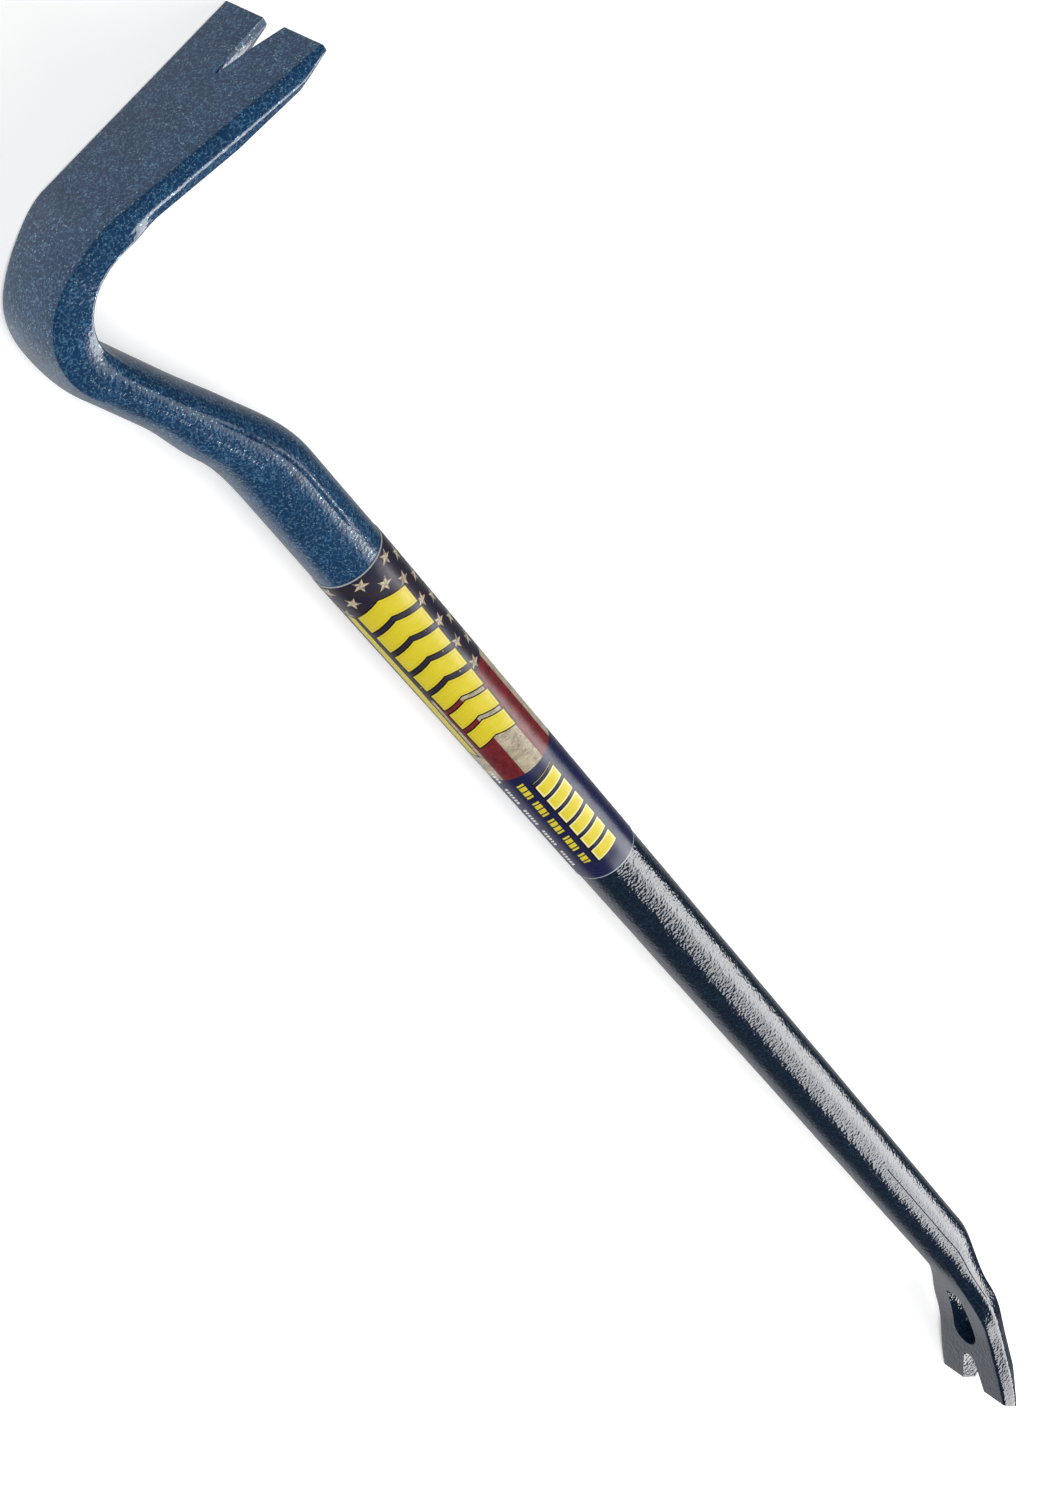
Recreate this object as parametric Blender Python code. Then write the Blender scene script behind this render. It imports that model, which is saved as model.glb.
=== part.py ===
"""Gooseneck wrecking bar, 18 inch class, lying on its side as it rests.

Two pieces: the one-piece forging and the printed film sleeve round its shaft.
The bar is designed in its own plane and then laid down on its side:
  design X runs along the shaft from the gooseneck to the chisel,
  design Y is the side the hook opens to,
  design Z is the width of the blades.
The design origin is on the shaft axis at the upper end of the film sleeve.
Metres throughout, +Z up.
"""
import math

import bmesh
import bpy
from mathutils import Matrix, Vector

MM = 0.001

# ---- shaft ------------------------------------------------------------------
SHAFT_RADIUS_UPPER = 8.45 * MM      # at the upper end of the sleeve
SHAFT_RADIUS_LOWER = 6.60 * MM      # where the chisel starts to form
SHAFT_UPPER_RUN = 26.8 * MM         # straight shaft above the sleeve
SHAFT_LOWER_RUN = 303.0 * MM        # straight shaft below the sleeve's upper end
CHISEL_FORM_RUN = 9.0 * MM          # end of the straight run that already changes shape

# ---- neck and heel (the gooseneck) ------------------------------------------
NECK_ANGLE = 19.0                   # degrees the neck leans back from the shaft
NECK_BEND_RADIUS = 65.0 * MM
NECK_RUN = 32.2 * MM
NECK_MID_OUTER = 7.35 * MM          # where the neck bend ends
NECK_MID_INNER = 6.30 * MM
NECK_HALF_THICKNESS = 5.85 * MM
NECK_HALF_WIDTH = 9.40 * MM
HEEL_ANGLE = 114.5                  # degrees turned round the heel
HEEL_BEND_RADIUS = 18.0 * MM
HEEL_OUTER_HALF = 6.40 * MM         # rocker side, at its fullest
HEEL_FULLEST = 0.40                 # place of the fullest section along the bend
HEEL_LEAN_OUTER = 4.60 * MM         # where the rocker runs into the broad face
HEEL_LEAN = 0.80
HEEL_INNER_HALF = 3.00 * MM
HEEL_HALF_WIDTH = 9.80 * MM
HEEL_SQUARE_LEAD = 5.0 * MM         # the section starts to square up this far before the heel
HEEL_SQUARE_FULL = 0.55             # share of the bend where it is fully square

# ---- claw -------------------------------------------------------------------
CLAW_RUN = 53.1 * MM
CLAW_OUTER_OFFSET = 5.00 * MM       # broad face to the path
CLAW_ROOT_HALF_WIDTH = 12.30 * MM
CLAW_TIP_HALF_WIDTH = 17.10 * MM
CLAW_ROOT_THICKNESS = 7.00 * MM
CLAW_MID_THICKNESS = 7.20 * MM
CLAW_MID_BACK = 24.0 * MM           # distance from the tip
CLAW_WEDGE_THICKNESS = 6.00 * MM
CLAW_WEDGE_BACK = 8.0 * MM
CLAW_TIP_THICKNESS = 1.70 * MM
CLAW_SIDE_THICKNESS = 3.80 * MM     # square part of the blade's side
CLAW_CHAMFER_WIDTH = 1.90 * MM      # how far the back narrows on each side
CLAW_CHAMFER_FADE = 9.0 * MM        # the narrowing builds up over this much of the blade
CLAW_CROWN = 0.50 * MM              # gentle crown of the broad face
V_DEPTH = 15.5 * MM
V_HALF_OPENING = 3.70 * MM
V_APEX_HALF = 0.25 * MM
V_STRAIGHT_WALL = 2.0 * MM          # before the walls open out toward the back
V_WALL_FLARE = 0.90                 # sideways per unit of depth below that
V_APEX_FLARE = 0.60

# ---- chisel -----------------------------------------------------------------
CHISEL_ANGLE = 24.0
CHISEL_BEND_RADIUS = 68.0 * MM
CHISEL_RUN = 17.2 * MM
CHISEL_FLARE_HALF_WIDTH = 9.80 * MM
CHISEL_FLATTENED = 0.42             # share of the bend where it has its root thickness
CHISEL_SQUARE_FULL = 0.60           # share of the bend where it is fully square
CHISEL_FLARED = 0.75                # share of the bend where it has its flare width
CHISEL_TIP_HALF_WIDTH = 11.80 * MM
CHISEL_ROOT_THICKNESS = 8.40 * MM
CHISEL_BLADE_THICKNESS = 7.60 * MM
CHISEL_TIP_THICKNESS = 4.60 * MM
CHISEL_TIP_SLANT = 3.60 * MM        # the back edge reaches this much further
CHISEL_SIDE_THICKNESS = 4.00 * MM
CHISEL_CHAMFER_WIDTH = 3.20 * MM
CHISEL_TIP_CHAMFER = 0.80 * MM
CHISEL_BEVEL_BACK = 7.0 * MM
NOTCH_DEPTH = 10.6 * MM
NOTCH_HALF_OPENING = 4.00 * MM
NOTCH_END_RADIUS = 2.20 * MM
HOLE_CENTRE_BACK = 18.8 * MM        # round end of the nail hole, from the tip
HOLE_RADIUS = 4.10 * MM
HOLE_APEX_BACK = 32.4 * MM
HOLE_APEX_HALF = 2.40 * MM

# ---- film sleeve ------------------------------------------------------------
SLEEVE_LENGTH = 113.5 * MM
SLEEVE_FILM = 0.20 * MM
SLEEVE_CLEARANCE = 0.30 * MM        # between the film and the steel

CUTTER_REACH = 20.0 * MM            # how far a cutter runs past the blade's faces
V_TOOL_BEYOND = 2.0 * MM            # how far a cutter runs past the blade's end
NOTCH_TOOL_BEYOND = 5.0 * MM

CLAW_ROOT_X = -60.0 * MM            # the claw's root is beyond this X and below this Y
CLAW_ROOT_Y = 15.0 * MM
SMOOTH_ANGLE = 28.0                 # degrees

# ---- outline of a section ---------------------------------------------------
HALF_STEPS = 20                     # points on half of the outline
STEP_OUTER_CORNER = 5
STEP_SIDE_CORNER = 9
STEP_INNER_CORNER = 15
SIDE_SHARE = 0.75                   # most of a blade's thickness that its square side takes


def clear_scene():
    for item in list(bpy.data.objects):
        bpy.data.objects.remove(item, do_unlink=True)


def between(value, knots):
    """Smooth interpolation through (place, size) knots."""
    if value <= knots[0][0]:
        return knots[0][1]
    for (low, size_low), (high, size_high) in zip(knots, knots[1:]):
        if value <= high:
            part = (value - low) / (high - low)
            part = part * part * (3.0 - 2.0 * part)
            return size_low + (size_high - size_low) * part
    return knots[-1][1]


def straight(value, low, high, size_low, size_high):
    """Straight-line interpolation, held at both ends."""
    part = min(max((value - low) / (high - low), 0.0), 1.0)
    return size_low + (size_high - size_low) * part


def walk(heading, segments):
    """Follow straights and arcs; returns (distance, point, heading) stations."""
    point = Vector((0.0, 0.0))
    angle = math.radians(heading)
    distance = 0.0
    stations = [(distance, point.copy(), angle)]
    for length, turn, count in segments:
        step = length / count
        bend = math.radians(turn) / count
        for _ in range(count):
            middle = angle + bend / 2.0
            chord = step
            if abs(bend) > 1e-9:
                chord = step * math.sin(bend / 2.0) / (bend / 2.0)
            point = point + Vector((math.cos(middle), math.sin(middle))) * chord
            angle += bend
            distance += step
            stations.append((distance, point.copy(), angle))
    return stations


def arc_length(radius, degrees):
    return radius * math.radians(abs(degrees))


def half_outline(outer, inner, half, side, inner_half, square, crown):
    """Half of a section from the middle of the broad face to the middle of the back.

    Each point is (offset toward the broad face, half width). The outline blends
    from an ellipse (square = 0) to a flat-faced blade with a chamfered back
    (square = 1).
    """
    middle = (outer - inner) / 2.0
    reach = (outer + inner) / 2.0
    corners = [
        (0, outer, 0.0),
        (STEP_OUTER_CORNER, outer, half),
        (STEP_SIDE_CORNER, outer - side, half),
        (STEP_INNER_CORNER, -inner, inner_half),
        (HALF_STEPS, -inner, 0.0),
    ]
    points = []
    for step in range(HALF_STEPS + 1):
        turn = math.pi * step / HALF_STEPS
        round_n = middle + reach * math.cos(turn)
        round_z = half * math.sin(turn)
        for (low, n_low, z_low), (high, n_high, z_high) in zip(corners, corners[1:]):
            if step <= high:
                part = (step - low) / (high - low)
                flat_n = n_low + (n_high - n_low) * part
                flat_z = z_low + (z_high - z_low) * part
                break
        if step < STEP_OUTER_CORNER:
            flat_n += crown * (1.0 - (step / STEP_OUTER_CORNER) ** 2)
        n = round_n + (flat_n - round_n) * square
        z = round_z + (flat_z - round_z) * square
        points.append((n, z))
    return points


def section(point, outward, along, half_points, slant):
    """Place a half outline and its mirror in the design frame.

    slant moves the back of the section along the path, for a slanted end.
    """
    n_top = half_points[0][0]
    n_low = half_points[-1][0]
    ring = []
    upper = list(half_points)
    lower = [(n, -z) for n, z in reversed(half_points[1:-1])]
    for n, z in upper + lower:
        shift = slant * (n_top - n) / (n_top - n_low)
        flat = point + outward * n + along * shift
        ring.append(Vector((flat.x, flat.y, z)))
    return ring


# ---- places along the two halves of the path --------------------------------
HOOK_NECK_START = SHAFT_UPPER_RUN
HOOK_NECK_BENT = HOOK_NECK_START + arc_length(NECK_BEND_RADIUS, NECK_ANGLE)
HOOK_HEEL_START = HOOK_NECK_BENT + NECK_RUN
HOOK_HEEL_END = HOOK_HEEL_START + arc_length(HEEL_BEND_RADIUS, HEEL_ANGLE)
HOOK_TIP = HOOK_HEEL_END + CLAW_RUN
HOOK_HEEL_MIDDLE = (HOOK_HEEL_START + HOOK_HEEL_END) / 2.0
HOOK_HEEL_FULLEST = HOOK_HEEL_START + HEEL_FULLEST * (HOOK_HEEL_END - HOOK_HEEL_START)
HOOK_HEEL_SQUARE = HOOK_HEEL_START + HEEL_SQUARE_FULL * (HOOK_HEEL_END - HOOK_HEEL_START)
HOOK_HEEL_LEAN = HOOK_HEEL_START + HEEL_LEAN * (HOOK_HEEL_END - HOOK_HEEL_START)
CHISEL_FORM_START = SHAFT_LOWER_RUN - CHISEL_FORM_RUN
CHISEL_BEND_END = SHAFT_LOWER_RUN + arc_length(CHISEL_BEND_RADIUS, CHISEL_ANGLE)
CHISEL_TURN = CHISEL_BEND_END - SHAFT_LOWER_RUN
CHISEL_TIP = CHISEL_BEND_END + CHISEL_RUN


def shaft_radius(x):
    return straight(x, 0.0, CHISEL_FORM_START, SHAFT_RADIUS_UPPER, SHAFT_RADIUS_LOWER)


def hook_sizes(u):
    """Sizes of the section at distance u from the sleeve toward the claw tip."""
    back = HOOK_TIP - u
    outer = between(u, [
        (HOOK_NECK_START, SHAFT_RADIUS_UPPER),
        (HOOK_NECK_BENT, NECK_MID_OUTER),
        (HOOK_NECK_BENT + 0.5 * NECK_RUN, NECK_HALF_THICKNESS),
        (HOOK_HEEL_START, NECK_HALF_THICKNESS),
        (HOOK_HEEL_FULLEST, HEEL_OUTER_HALF),
        (HOOK_HEEL_LEAN, HEEL_LEAN_OUTER),
        (HOOK_HEEL_END, CLAW_OUTER_OFFSET),
    ])
    inner = between(u, [
        (HOOK_NECK_START, SHAFT_RADIUS_UPPER),
        (HOOK_NECK_BENT, NECK_MID_INNER),
        (HOOK_NECK_BENT + 0.5 * NECK_RUN, NECK_HALF_THICKNESS),
        (HOOK_HEEL_START, NECK_HALF_THICKNESS),
        (HOOK_HEEL_MIDDLE, HEEL_INNER_HALF),
        (HOOK_HEEL_END, CLAW_ROOT_THICKNESS - CLAW_OUTER_OFFSET),
    ])
    if u > HOOK_HEEL_END:
        thickness = CLAW_ROOT_THICKNESS
        if back < CLAW_WEDGE_BACK:
            thickness = straight(back, 0.0, CLAW_WEDGE_BACK, CLAW_TIP_THICKNESS, CLAW_WEDGE_THICKNESS)
        elif back < CLAW_MID_BACK:
            thickness = straight(
                back, CLAW_WEDGE_BACK, CLAW_MID_BACK, CLAW_WEDGE_THICKNESS, CLAW_MID_THICKNESS)
        else:
            thickness = between(back, [
                (CLAW_MID_BACK, CLAW_MID_THICKNESS),
                (CLAW_RUN, CLAW_ROOT_THICKNESS),
            ])
        inner = thickness - CLAW_OUTER_OFFSET
    half = between(u, [
        (HOOK_NECK_START, SHAFT_RADIUS_UPPER),
        (HOOK_HEEL_START, NECK_HALF_WIDTH),
        (HOOK_HEEL_MIDDLE, HEEL_HALF_WIDTH),
        (HOOK_HEEL_END, CLAW_ROOT_HALF_WIDTH),
    ])
    if u > HOOK_HEEL_END:
        half = straight(u, HOOK_HEEL_END, HOOK_TIP, CLAW_ROOT_HALF_WIDTH, CLAW_TIP_HALF_WIDTH)
    square = between(u, [(HOOK_HEEL_START - HEEL_SQUARE_LEAD, 0.0), (HOOK_HEEL_SQUARE, 1.0)])
    thick = outer + inner
    side = min(CLAW_SIDE_THICKNESS, SIDE_SHARE * thick)
    chamfer = straight(back, 0.0, CLAW_WEDGE_BACK, 0.0, CLAW_CHAMFER_WIDTH)
    chamfer *= between(u, [(HOOK_HEEL_END, 0.0), (HOOK_HEEL_END + CLAW_CHAMFER_FADE, 1.0)])
    crown = straight(back, 0.0, CLAW_WEDGE_BACK, 0.0, CLAW_CROWN)
    return outer, inner, half, side, half - chamfer, square, crown


def chisel_sizes(u):
    """Sizes of the section at distance u from the sleeve toward the chisel tip."""
    back = CHISEL_TIP - u
    outer = shaft_radius(u)
    thickness = between(u, [
        (CHISEL_FORM_START, 2.0 * SHAFT_RADIUS_LOWER),
        (SHAFT_LOWER_RUN + CHISEL_FLATTENED * CHISEL_TURN, CHISEL_ROOT_THICKNESS),
        (CHISEL_BEND_END, CHISEL_BLADE_THICKNESS),
    ])
    if back < CHISEL_BEVEL_BACK:
        thickness = straight(
            back, 0.0, CHISEL_BEVEL_BACK, CHISEL_TIP_THICKNESS, CHISEL_BLADE_THICKNESS)
    if u < CHISEL_FORM_START:
        thickness = 2.0 * outer
    half = between(u, [
        (SHAFT_LOWER_RUN, SHAFT_RADIUS_LOWER),
        (SHAFT_LOWER_RUN + CHISEL_FLARED * CHISEL_TURN, CHISEL_FLARE_HALF_WIDTH),
        (CHISEL_TIP, CHISEL_TIP_HALF_WIDTH),
    ])
    if u < CHISEL_FORM_START:
        half = outer
    square = between(u, [
        (CHISEL_FORM_START, 0.0),
        (SHAFT_LOWER_RUN + CHISEL_SQUARE_FULL * CHISEL_TURN, 1.0),
    ])
    side = min(CHISEL_SIDE_THICKNESS, SIDE_SHARE * thickness)
    chamfer = straight(back, 0.0, CHISEL_BEVEL_BACK, CHISEL_TIP_CHAMFER, CHISEL_CHAMFER_WIDTH)
    return outer, thickness - outer, half, side, half - chamfer, square, 0.0


def hook_path():
    return walk(180.0, [
        (SHAFT_UPPER_RUN, 0.0, 2),
        (arc_length(NECK_BEND_RADIUS, NECK_ANGLE), NECK_ANGLE, 5),
        (NECK_RUN, 0.0, 4),
        (arc_length(HEEL_BEND_RADIUS, HEEL_ANGLE), -HEEL_ANGLE, 14),
        (CLAW_RUN - CLAW_MID_BACK, 0.0, 4),
        (CLAW_MID_BACK - CLAW_WEDGE_BACK, 0.0, 2),
        (CLAW_WEDGE_BACK, 0.0, 2),
    ])


def chisel_path():
    return walk(0.0, [
        (SLEEVE_LENGTH, 0.0, 1),
        (CHISEL_FORM_START - SLEEVE_LENGTH, 0.0, 2),
        (CHISEL_FORM_RUN, 0.0, 4),
        (arc_length(CHISEL_BEND_RADIUS, CHISEL_ANGLE), -CHISEL_ANGLE, 8),
        (CHISEL_RUN - CHISEL_BEVEL_BACK, 0.0, 2),
        (CHISEL_BEVEL_BACK, 0.0, 2),
    ])


def forging_rings():
    rings = []
    for u, point, angle in reversed(hook_path()[1:]):
        outward = Vector((-math.sin(angle), math.cos(angle)))
        along = Vector((math.cos(angle), math.sin(angle)))
        rings.append(section(point, outward, along, half_outline(*hook_sizes(u)), 0.0))
    for u, point, angle in chisel_path():
        outward = Vector((math.sin(angle), -math.cos(angle)))
        along = Vector((math.cos(angle), math.sin(angle)))
        slant = straight(CHISEL_TIP - u, 0.0, CHISEL_BEVEL_BACK, CHISEL_TIP_SLANT, 0.0)
        rings.append(section(point, outward, along, half_outline(*chisel_sizes(u)), slant))
    return rings


def finish(name, mesh_data, material):
    mesh_data.normal_update()
    bmesh.ops.recalc_face_normals(mesh_data, faces=mesh_data.faces)
    mesh = bpy.data.meshes.new(name)
    mesh_data.to_mesh(mesh)
    mesh_data.free()
    item = bpy.data.objects.new(name, mesh)
    bpy.context.scene.collection.objects.link(item)
    if material is not None:
        mesh.materials.append(material)
    return item


def smooth(item, degrees):
    item.data.shade_smooth()
    item.data.set_sharp_from_angle(angle=math.radians(degrees))


def loft(name, rings, material):
    data = bmesh.new()
    loops = [[data.verts.new(place) for place in ring] for ring in rings]
    count = len(rings[0])
    for first, second in zip(loops, loops[1:]):
        for i in range(count):
            j = (i + 1) % count
            data.faces.new((first[i], first[j], second[j], second[i]))
    data.faces.new(loops[0])
    data.faces.new(list(reversed(loops[-1])))
    return finish(name, data, material)


def prism(name, levels, origin, along, outward):
    """A cutter through a blade.

    Each level is (offset toward the broad face, outline), and an outline is a
    list of (distance back from the tip, width).
    """
    data = bmesh.new()
    layers = []
    for level, outline in levels:
        layer = []
        for back, width in outline:
            flat = origin - along * back + outward * level
            layer.append(data.verts.new((flat.x, flat.y, width)))
        layers.append(layer)
    count = len(layers[0])
    for first, second in zip(layers, layers[1:]):
        for i in range(count):
            j = (i + 1) % count
            data.faces.new((first[i], first[j], second[j], second[i]))
    data.faces.new(layers[0])
    data.faces.new(list(reversed(layers[-1])))
    item = finish(name, data, None)
    item.hide_render = True
    item.display_type = 'WIRE'
    return item


def claw_notch():
    _, point, angle = hook_path()[-1]
    along = Vector((math.cos(angle), math.sin(angle)))
    outward = Vector((-math.sin(angle), math.cos(angle)))
    wall_end = CLAW_OUTER_OFFSET - V_STRAIGHT_WALL
    levels = []
    for level in (CUTTER_REACH, wall_end, -CUTTER_REACH / 2.0):
        flare = max(wall_end - level, 0.0)
        beyond = V_TOOL_BEYOND
        apex = V_APEX_HALF + V_WALL_FLARE * flare
        wide = V_HALF_OPENING + V_WALL_FLARE * flare
        wide += (V_HALF_OPENING - V_APEX_HALF) * beyond / V_DEPTH
        depth = V_DEPTH + V_APEX_FLARE * flare
        levels.append((level, [(-beyond, -wide), (depth, -apex), (depth, apex), (-beyond, wide)]))
    return prism("claw_notch_cutter", levels, point, along, outward)


def chisel_notch():
    _, point, angle = chisel_path()[-1]
    along = Vector((math.cos(angle), math.sin(angle)))
    outward = Vector((math.sin(angle), -math.cos(angle)))
    beyond = NOTCH_TOOL_BEYOND
    centre = NOTCH_DEPTH - NOTCH_END_RADIUS
    wide = NOTCH_HALF_OPENING + (NOTCH_HALF_OPENING - NOTCH_END_RADIUS) * beyond / centre
    outline = [(-beyond, -wide)]
    steps = 10
    for i in range(steps + 1):
        turn = math.pi * i / steps
        outline.append((centre + NOTCH_END_RADIUS * math.sin(turn), -NOTCH_END_RADIUS * math.cos(turn)))
    outline.append((-beyond, wide))
    levels = [(-CUTTER_REACH, outline), (CUTTER_REACH, outline)]
    return prism("chisel_notch_cutter", levels, point, along, outward)


def nail_hole():
    _, point, angle = chisel_path()[-1]
    along = Vector((math.cos(angle), math.sin(angle)))
    outward = Vector((math.sin(angle), -math.cos(angle)))
    # The straight sides leave the round end where they are tangent to it.
    reach = HOLE_APEX_BACK - HOLE_CENTRE_BACK
    lean = math.asin((HOLE_RADIUS - HOLE_APEX_HALF) / reach)
    outline = [(HOLE_APEX_BACK, -HOLE_APEX_HALF), (HOLE_APEX_BACK, HOLE_APEX_HALF)]
    steps = 16
    for i in range(steps + 1):
        turn = -lean + (math.pi + 2.0 * lean) * i / steps
        outline.append((
            HOLE_CENTRE_BACK - HOLE_RADIUS * math.sin(turn),
            HOLE_RADIUS * math.cos(turn),
        ))
    levels = [(-CUTTER_REACH, outline), (CUTTER_REACH, outline)]
    return prism("nail_hole_cutter", levels, point, along, outward)


def cut(item, tool):
    modifier = item.modifiers.new(tool.name, 'BOOLEAN')
    modifier.operation = 'DIFFERENCE'
    modifier.object = tool


def sleeve(material):
    data = bmesh.new()
    count = 2 * HALF_STEPS
    rings = []
    for x, extra in (
        (0.0, SLEEVE_CLEARANCE),
        (SLEEVE_LENGTH, SLEEVE_CLEARANCE),
        (SLEEVE_LENGTH, SLEEVE_CLEARANCE + SLEEVE_FILM),
        (0.0, SLEEVE_CLEARANCE + SLEEVE_FILM),
    ):
        radius = shaft_radius(x) + extra
        ring = []
        for i in range(count):
            turn = math.pi * i / HALF_STEPS
            ring.append(data.verts.new((x, -radius * math.cos(turn), radius * math.sin(turn))))
        rings.append(ring)
    for first, second in zip(rings, rings[1:] + rings[:1]):
        for i in range(count):
            j = (i + 1) % count
            data.faces.new((first[i], first[j], second[j], second[i]))
    return finish("label_wrap", data, material)


def material(name, colour, roughness, metallic):
    made = bpy.data.materials.new(name)
    made.use_nodes = True
    shader = made.node_tree.nodes["Principled BSDF"]
    shader.inputs["Base Color"].default_value = (*colour, 1.0)
    shader.inputs["Roughness"].default_value = roughness
    shader.inputs["Metallic"].default_value = metallic
    return made


def resting_frame(rings):
    """Turn and lift that lay the bar on one side of its claw and chisel."""
    points = [place for ring in rings for place in ring]
    turn = Matrix.Identity(3)
    for _ in range(12):
        placed = [turn @ place for place in points]
        claw_tip = min(placed[:len(rings[0])], key=lambda place: place.z)
        root = min((p for p in placed if p.x < CLAW_ROOT_X and p.y < CLAW_ROOT_Y), key=lambda p: p.z)
        far_tip = min(placed[-len(rings[0]):], key=lambda place: place.z)
        normal = (root - claw_tip).cross(far_tip - claw_tip).normalized()
        if normal.z < 0.0:
            normal = -normal
        turn = normal.rotation_difference(Vector((0.0, 0.0, 1.0))).to_matrix() @ turn
    placed = [turn @ place for place in points]
    low = [min(place[i] for place in placed) for i in range(3)]
    high = [max(place[i] for place in placed) for i in range(3)]
    shift = Vector((-(low[0] + high[0]) / 2.0, -(low[1] + high[1]) / 2.0, -low[2]))
    return Matrix.Translation(shift) @ turn.to_4x4()


def main():
    clear_scene()
    steel = material("hammered_blue_enamel", (0.035, 0.075, 0.14), 0.32, 0.35)
    film = material("printed_film", (0.03, 0.035, 0.07), 0.25, 0.0)
    rings = forging_rings()
    lay_down = resting_frame(rings)
    bar = loft("forged_bar", rings, steel)
    wrap = sleeve(film)
    tools = [claw_notch(), chisel_notch(), nail_hole()]
    for item in [bar, wrap] + tools:
        item.data.transform(lay_down)
    for tool in tools:
        cut(bar, tool)
    smooth(bar, SMOOTH_ANGLE)
    smooth(wrap, SMOOTH_ANGLE)


main()
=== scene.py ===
# %% [markdown]
# # A gooseneck wrecking bar, from bare mesh to enamel
# This lesson dresses a small steel demolition bar: a claw on a curved neck at one end, a
# chisel with a nail hole at the other, and a printed film sleeve round the shaft.
# The plain model of the bar is already packed. It is loaded first and stays where it is,
# because everything made here has to sit exactly on it.

import math

import bmesh
import bpy
from mathutils import Matrix, Quaternion, Vector, noise


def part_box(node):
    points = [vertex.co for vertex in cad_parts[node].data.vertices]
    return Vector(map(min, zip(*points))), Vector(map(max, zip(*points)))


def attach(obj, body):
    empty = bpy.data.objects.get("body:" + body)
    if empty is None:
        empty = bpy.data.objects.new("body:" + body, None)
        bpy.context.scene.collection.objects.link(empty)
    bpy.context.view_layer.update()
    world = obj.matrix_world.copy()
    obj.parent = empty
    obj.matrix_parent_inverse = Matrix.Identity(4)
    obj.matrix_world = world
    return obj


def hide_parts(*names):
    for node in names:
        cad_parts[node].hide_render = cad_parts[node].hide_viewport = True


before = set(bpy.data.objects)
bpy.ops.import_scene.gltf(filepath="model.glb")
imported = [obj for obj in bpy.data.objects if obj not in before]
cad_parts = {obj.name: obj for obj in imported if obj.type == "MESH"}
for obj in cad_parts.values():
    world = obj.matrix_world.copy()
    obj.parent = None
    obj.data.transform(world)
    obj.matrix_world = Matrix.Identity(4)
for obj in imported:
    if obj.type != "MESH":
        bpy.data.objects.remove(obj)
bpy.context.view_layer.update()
MM = 0.001

# %% [markdown]
# ## The sizes of the forging
# A forging like this is hot round bar, bent, flattened at both ends and trimmed. Its shape
# is therefore a section that changes while it travels along a bent line, and the sizes
# below say where and how much. They are the sizes the packed bar was designed with, so the
# finer surface made from them covers the plain one. The design lies in its own plane: X
# runs down the shaft, Y is the side the hook opens to, and Z is the width of the blades.

# %% Driving sizes
shaft = {"upper_radius": 8.45 * MM, "lower_radius": 6.60 * MM, "above": 26.8 * MM, "below": 303.0 * MM}
shaft["forming"] = 9.0 * MM
neck = {"angle": 19.0, "bend": 65.0 * MM, "run": 32.2 * MM, "half": 5.85 * MM, "width": 9.4 * MM}
neck["outer"] = 7.35 * MM
neck["inner"] = 6.30 * MM
heel = {"angle": 114.5, "bend": 18.0 * MM, "outer": 6.4 * MM, "inner": 3.0 * MM, "width": 9.8 * MM}
heel["lean"] = 4.6 * MM
heel["fullest_at"] = 0.40
heel["lean_at"] = 0.80
heel["square_lead"] = 5.0 * MM
heel["square_at"] = 0.55
claw = {"run": 53.1 * MM, "offset": 5.0 * MM, "root_width": 12.3 * MM, "tip_width": 17.1 * MM}
claw["root"] = 7.0 * MM
claw["middle"] = 7.2 * MM
claw["middle_back"] = 24.0 * MM
claw["wedge"] = 6.0 * MM
claw["wedge_back"] = 8.0 * MM
claw["tip"] = 1.7 * MM
claw["side"] = 3.8 * MM
claw["chamfer"] = 1.9 * MM
claw["chamfer_fade"] = 9.0 * MM
claw["crown"] = 0.5 * MM
chisel = {"angle": 24.0, "bend": 68.0 * MM, "run": 17.2 * MM, "flare": 9.8 * MM, "tip_width": 11.8 * MM}
chisel["root"] = 8.4 * MM
chisel["flattened_at"] = 0.42
chisel["square_at"] = 0.60
chisel["flared_at"] = 0.75
chisel["blade"] = 7.6 * MM
chisel["tip"] = 4.6 * MM
chisel["slant"] = 3.6 * MM
chisel["side"] = 4.0 * MM
chisel["chamfer"] = 3.2 * MM
chisel["tip_chamfer"] = 0.8 * MM
chisel["bevel_back"] = 7.0 * MM
SLEEVE_LENGTH = 113.5 * MM
SIDE_SHARE = 0.75  # a blade's straight side takes at most this share of its thickness


def arc_length(radius, degrees):
    return radius * math.radians(degrees)


neck_start = shaft["above"]
neck_bent = neck_start + arc_length(neck["bend"], neck["angle"])
heel_start = neck_bent + neck["run"]
heel_end = heel_start + arc_length(heel["bend"], heel["angle"])
heel_turn = heel_end - heel_start
claw_tip = heel_end + claw["run"]
form_start = shaft["below"] - shaft["forming"]
chisel_bent = shaft["below"] + arc_length(chisel["bend"], chisel["angle"])
chisel_turn = chisel_bent - shaft["below"]
chisel_tip = chisel_bent + chisel["run"]
print("steel along its centre line:", round((claw_tip + chisel_tip) / MM, 1), "mm")

# %% [markdown]
# ## Sizes that flow
# Forged metal never changes size with a jolt. `ease` joins a few known sizes with a smooth
# S-curve, and `ramp` with a straight slope where the real thing is ground or hammered flat.

# %% Easing between known sizes


def ease(place, knots):
    """Smooth curve through (place, size) knots, level at both ends."""
    if place <= knots[0][0]:
        return knots[0][1]
    for (low, size_low), (high, size_high) in zip(knots, knots[1:]):
        if place <= high:
            part = (place - low) / (high - low)
            part = part * part * (3.0 - 2.0 * part)
            return size_low + (size_high - size_low) * part
    return knots[-1][1]


def ramp(place, low, high, size_low, size_high):
    """Straight slope between two places, level beyond them."""
    part = min(max((place - low) / (high - low), 0.0), 1.0)
    return size_low + (size_high - size_low) * part


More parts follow.
